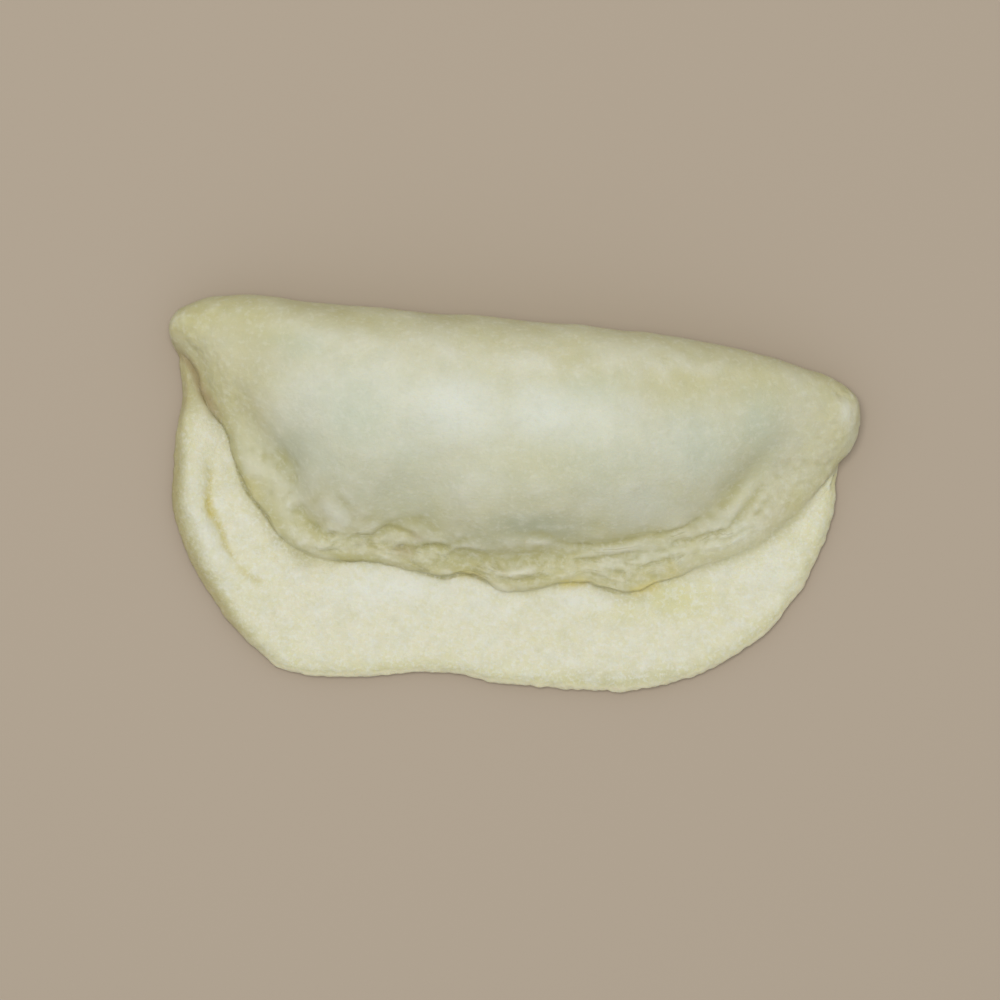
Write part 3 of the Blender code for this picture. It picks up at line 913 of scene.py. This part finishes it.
def near_zero(tree, value, reach):
    """1 where a value is zero, falling smoothly to 0 where it is this far from zero on either side."""
    size = add(tree, "ShaderNodeMath", operation="ABSOLUTE")
    tree.links.new(value, size.inputs[0])
    fall = add(tree, "ShaderNodeMapRange", From_Min=0.0, From_Max=reach, To_Min=1.0, To_Max=0.0)
    fall.interpolation_type = "SMOOTHSTEP"
    tree.links.new(size.outputs[0], fall.inputs["Value"])
    return fall.outputs[0]


def floury(tree, bare, floured):
    """One value on bare dough and another where there is flour."""
    node = add(tree, "ShaderNodeMapRange", To_Min=bare, To_Max=floured)
    tree.links.new(painted(tree, "flour"), node.inputs["Value"])
    return node.outputs[0]


# %% [markdown]
# ## Mottling
#
# Dough is mottled at every scale: patches as wide as a thumb, blotches of a few millimetres, and specks of
# flour. All of them are one noise pattern at different sizes, so it is made once, as a node group.


# %% The mottling group
def mottling():
    """A noise pattern stretched to run from 0 to 1."""
    group = bpy.data.node_groups.new("Mottling", "ShaderNodeTree")
    for name, value in (("Size", 1.0), ("Low", 0.35), ("High", 0.65)):
        socket = group.interface.new_socket(name, in_out="INPUT", socket_type="NodeSocketFloat")
        socket.default_value = value
    group.interface.new_socket("Mask", in_out="OUTPUT", socket_type="NodeSocketFloat")
    inputs = add(group, "NodeGroupInput")
    outputs = add(group, "NodeGroupOutput")
    place = add(group, "ShaderNodeTexCoord")
    pattern = add(group, "ShaderNodeTexNoise", Detail=3.0, Roughness=0.6)
    per_metre = add(group, "ShaderNodeMath", operation="DIVIDE")
    per_metre.inputs[0].default_value = 1 / MM
    spread = add(group, "ShaderNodeMapRange", interpolation_type="SMOOTHSTEP")
    link = group.links.new
    link(place.outputs["Object"], pattern.inputs["Vector"])
    link(inputs.outputs["Size"], per_metre.inputs[1])
    link(per_metre.outputs[0], pattern.inputs["Scale"])
    link(pattern.outputs["Fac"], spread.inputs["Value"])
    link(inputs.outputs["Low"], spread.inputs["From Min"])
    link(inputs.outputs["High"], spread.inputs["From Max"])
    link(spread.outputs[0], outputs.inputs["Mask"])
    return group


MOTTLING = mottling()
print("mottling group:", len(MOTTLING.nodes), "nodes")


def mottle(tree, size, low=0.35, high=0.65):
    """The mottling group at one size in millimetres."""
    node = add(tree, "ShaderNodeGroup", node_tree=MOTTLING)
    for name, value in (("Size", size), ("Low", low), ("High", high)):
        node.inputs[name].default_value = value
    return node.outputs["Mask"]


# %% [markdown]
# ## The skin of raw dough
#
# Raw dough is pale and slightly see-through, so a little light scatters under its surface. Its colour is
# built up in layers, from the plain thick dough to the specks of flour on top, and some layers are painted
# shade and painted highlights.

# %% Colours, from thick dough to flour, with painted light and shade
PLAIN = (0.58, 0.54, 0.335)
YELLOWED = (0.57, 0.53, 0.27)
STRETCHED = (0.65, 0.65, 0.49)
# Partly a painted highlight, on the top of the mound and the lobe
PALE_AND_HIGHLIGHT = (0.72, 0.735, 0.63)
COOL = (0.53, 0.575, 0.44)
# Partly painted shade on the mound's front slope, and faint clouds
GREY_AND_SHADE = (0.46, 0.475, 0.325)
FLOURED = (0.765, 0.735, 0.55)
# Flour, and in one place a painted highlight
WHITE_FLOUR_AND_HIGHLIGHT = (0.80, 0.80, 0.70)
# Buttery flour, and painted shade near the rim
BUTTER_AND_RIM_SHADE = (0.71, 0.68, 0.38)
# Painted shade in creases, hollows and wrinkles, and also dark specks
OLIVE_SHADE_AND_SPECKS = (0.45, 0.42, 0.19)
# A painted orange glow in the deepest creases
ORANGE_GLOW = (0.65, 0.565, 0.21)
# Painted shade, brown, under laps, along the nose and where the rim meets the table
BROWN_SHADE = (0.38, 0.29, 0.15)
# Painted shade in thin lines along creases and the flap's edge
SHADOW_LINE = (0.36, 0.325, 0.125)
# Drier dough and flecks, and painted highlights on puffs and ridges
DRY_AND_HIGHLIGHT = (0.74, 0.73, 0.60)
# Painted light on the side of the rim at the front
RIM_SIDE_LIGHT = (0.80, 0.755, 0.52)

# %% The dough's material
material = bpy.data.materials.new("raw_dough")
material.use_nodes = True
tree = material.node_tree
shader = tree.nodes["Principled BSDF"]
shader.inputs["Subsurface Weight"].default_value = 0.3
shader.inputs["Subsurface Radius"].default_value = (1.0, 0.8, 0.5)
shader.inputs["Subsurface Scale"].default_value = 1.5 * MM
shader.inputs["Specular IOR Level"].default_value = 0.25

# Several layers are painted light and shade: highlights on the mound and lumps, shade in creases, hollows
# and at the rim, an orange glow in the deepest creases, and light on the rim's front side
LAYERS = (
    ("stretched", STRETCHED), ("pale_and_highlight", PALE_AND_HIGHLIGHT), ("cool", COOL), ("grey_and_shade", GREY_AND_SHADE), ("yellow", YELLOWED),
    ("flour", FLOURED), ("butter_and_rim_shade", BUTTER_AND_RIM_SHADE), ("white_and_highlight", WHITE_FLOUR_AND_HIGHLIGHT), ("dry_and_highlight", DRY_AND_HIGHLIGHT), ("warm_shade", OLIVE_SHADE_AND_SPECKS),
    ("orange_glow", ORANGE_GLOW), ("rim_side_light", RIM_SIDE_LIGHT),
)
colour = mixed(tree, PLAIN, YELLOWED, mottle(tree, 8.0))
for name, layer in LAYERS:
    colour = mixed(tree, colour, layer, painted(tree, name))
print("layers of colour:", 1 + len(LAYERS))

# %% [markdown]
# The thin lines of painted shade that the strokes kept are drawn where the distance across them is near
# zero.
# On bare dough the mottling breaks them up a little, and under flour they run through.

# %% Thin lines of painted shade in the creases
HALF_LINE = 0.45  # millimetres from a line's middle to where it ends
thin_line = near_zero(tree, painted(tree, "across_line"), HALF_LINE)
drawn = times(tree, thin_line, painted(tree, "line"))
unbroken = add(tree, "ShaderNodeMath", operation="ADD", use_clamp=True)
tree.links.new(mottle(tree, 1.6, 0.3, 0.55), unbroken.inputs[0])
tree.links.new(painted(tree, "flour"), unbroken.inputs[1])
drawn = times(tree, drawn, unbroken.outputs[0])
colour = mixed(tree, colour, SHADOW_LINE, drawn)
print("nodes with the thin lines:", len(tree.nodes))

# %% [markdown]
# The crinkled border has wrinkles finer than the mesh can hold. They lie where smooth noise that follows
# the edge passes through its middle value, which it does along thin, winding lines that get a little painted
# shade.

# %% Hair-thin wrinkles in the border
MIDDLE = 0.5  # of the noise, which runs from 0 to 1
HALF_HAIRLINE = 0.12  # how far from its middle a wrinkle ends
WRINKLE_TINT = 0.3
follows = add(tree, "ShaderNodeAttribute", attribute_name="flow")
winding = add(tree, "ShaderNodeTexNoise", Scale=1.0, Detail=1.0, Roughness=0.5)
tree.links.new(follows.outputs["Vector"], winding.inputs["Vector"])
from_middle = add(tree, "ShaderNodeMath", operation="SUBTRACT")
tree.links.new(winding.outputs["Fac"], from_middle.inputs[0])
from_middle.inputs[1].default_value = MIDDLE
hairline = near_zero(tree, from_middle.outputs[0], HALF_HAIRLINE)
wrinkled = times(tree, times(tree, hairline, painted(tree, "crinkled")), mottle(tree, 2.6))
colour = mixed(tree, colour, OLIVE_SHADE_AND_SPECKS, times(tree, wrinkled, WRINKLE_TINT))
print("nodes with the hair-thin wrinkles:", len(tree.nodes))

# %% [markdown]
# Last come the fine patterns. The flour lies in white blotches and specks with buttery ones between them,
# faint clouds, pits and flecks cover all the dough, and the flap's border is crumbly. The painted orange
# glow and the painted brown shade go over all of that, because no flour lies in them.

# %% Mottling and specks of flour
# Size in millimetres, the noise at which it starts and is full, where, the colour and how much of it
PATTERNS = (
    (3.0, 0.48, 0.72, "dust", WHITE_FLOUR_AND_HIGHLIGHT, 0.5), (4.5, 0.52, 0.72, "dust", BUTTER_AND_RIM_SHADE, 0.25),
    (1.3, 0.50, 0.62, "dust", BUTTER_AND_RIM_SHADE, 0.25), (0.7, 0.50, 0.62, "dust", WHITE_FLOUR_AND_HIGHLIGHT, 0.5),
    (3.5, 0.40, 0.70, None, GREY_AND_SHADE, 0.14), (0.9, 0.50, 0.70, None, OLIVE_SHADE_AND_SPECKS, 0.09),
    (1.1, 0.50, 0.70, None, DRY_AND_HIGHLIGHT, 0.28),
    (1.7, 0.47, 0.62, "crumbly", DRY_AND_HIGHLIGHT, 0.2), (2.3, 0.50, 0.66, "crumbly", OLIVE_SHADE_AND_SPECKS, 0.22),
)
for size, low, high, where, layer, share in PATTERNS:
    pattern = mottle(tree, size, low, high)
    if where:
        pattern = times(tree, pattern, painted(tree, where))
    colour = mixed(tree, colour, layer, times(tree, pattern, share))
# The painted orange glow and the painted brown shade, on top of everything
colour = mixed(tree, colour, ORANGE_GLOW, times(tree, painted(tree, "orange_glow"), 0.6))
colour = mixed(tree, colour, BROWN_SHADE, painted(tree, "brown_shade"))
tree.links.new(colour, shader.inputs["Base Color"])
print("fine patterns:", len(PATTERNS))

# %% [markdown]
# Flour is duller than bare dough, and its grain stands twice as high. The thin lines are also grooves.

# %% Sheen and grain
DULL = (0.62, 0.85)  # roughness of bare dough, and of flour
GRAIN = (0.05, 0.1)  # how high the grain stands in millimetres, on bare dough and on flour
GROOVES = ((drawn, -0.2), (wrinkled, -0.08))  # also in millimetres
tree.links.new(floury(tree, *DULL), shader.inputs["Roughness"])
height = times(tree, mottle(tree, 0.6, 0.2, 0.8), floury(tree, *GRAIN))
for groove, depth in GROOVES:
    total = add(tree, "ShaderNodeMath", operation="ADD")
    tree.links.new(height, total.inputs[0])
    tree.links.new(times(tree, groove, depth), total.inputs[1])
    height = total.outputs[0]
relief = add(tree, "ShaderNodeBump", Strength=1.0, Distance=1.0 * MM)
tree.links.new(height, relief.inputs["Height"])
tree.links.new(relief.outputs["Normal"], shader.inputs["Normal"])

dough.data.materials.clear()
dough.data.materials.append(material)
print("material nodes:", len(tree.nodes))

# %% [markdown]
# ## Floor, light and camera
#
# The pirozhok lies on a plain pale floor. The light is that of a bright room: mostly even light from all
# round, with a soft lamp above that gives the mound its gentle highlight.

# %% A plain pale floor
bpy.ops.object.select_all(action="DESELECT")
bpy.ops.mesh.primitive_plane_add(size=2.0, location=(0, 0, 0))
floor = bpy.context.object
floor.name = "floor"
floor_paint = bpy.data.materials.new("pale_floor")
floor_paint.use_nodes = True
floor_shader = floor_paint.node_tree.nodes["Principled BSDF"]
floor_shader.inputs["Base Color"].default_value = (0.44, 0.36, 0.27, 1)
floor_shader.inputs["Roughness"].default_value = 0.7
floor.data.materials.append(floor_paint)
print("floor:", round(floor.dimensions.x, 1), "m wide")

# %% Soft light from overhead
world = bpy.data.worlds.new("studio")
world.use_nodes = True
world.node_tree.nodes["Background"].inputs["Color"].default_value = (0.97, 0.985, 1.0, 1)
world.node_tree.nodes["Background"].inputs["Strength"].default_value = 0.58
bpy.context.scene.world = world
bpy.context.scene.view_settings.view_transform = "Standard"

LAMP_PLACE = (-0.06, 0.07, 0.75)  # metres
bpy.ops.object.light_add(type="AREA", location=LAMP_PLACE)
lamp = bpy.context.object
lamp.name = "softbox"
lamp.data.shape = "DISK"
lamp.data.size = 0.30
lamp.data.energy = 2.3
lamp.rotation_euler = (-lamp.location).to_track_quat("-Z", "Y").to_euler()
print("the lamp is", round(lamp.location.length, 2), "m from the dough")

# %% [markdown]
# The camera looks straight down. Its lens is worked out from its height and the width of floor that the
# picture shows.

# %% A camera straight above
VIEW_CENTRE = (-2.68 * MM, -1.22 * MM)
CAMERA_HEIGHT = 0.75
VIEW_WIDTH = 0.1739
SENSOR = 36.0  # millimetres, as the lens is
bpy.ops.object.camera_add(location=(*VIEW_CENTRE, CAMERA_HEIGHT), rotation=(0, 0, 0))
camera = bpy.context.object
camera.data.sensor_width = SENSOR
camera.data.lens = SENSOR * CAMERA_HEIGHT / VIEW_WIDTH
camera.data.clip_start = 0.01
bpy.context.scene.camera = camera
print("lens:", round(camera.data.lens, 1), "mm")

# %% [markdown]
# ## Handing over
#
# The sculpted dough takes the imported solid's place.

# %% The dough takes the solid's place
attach(dough, "root")
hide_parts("dough")
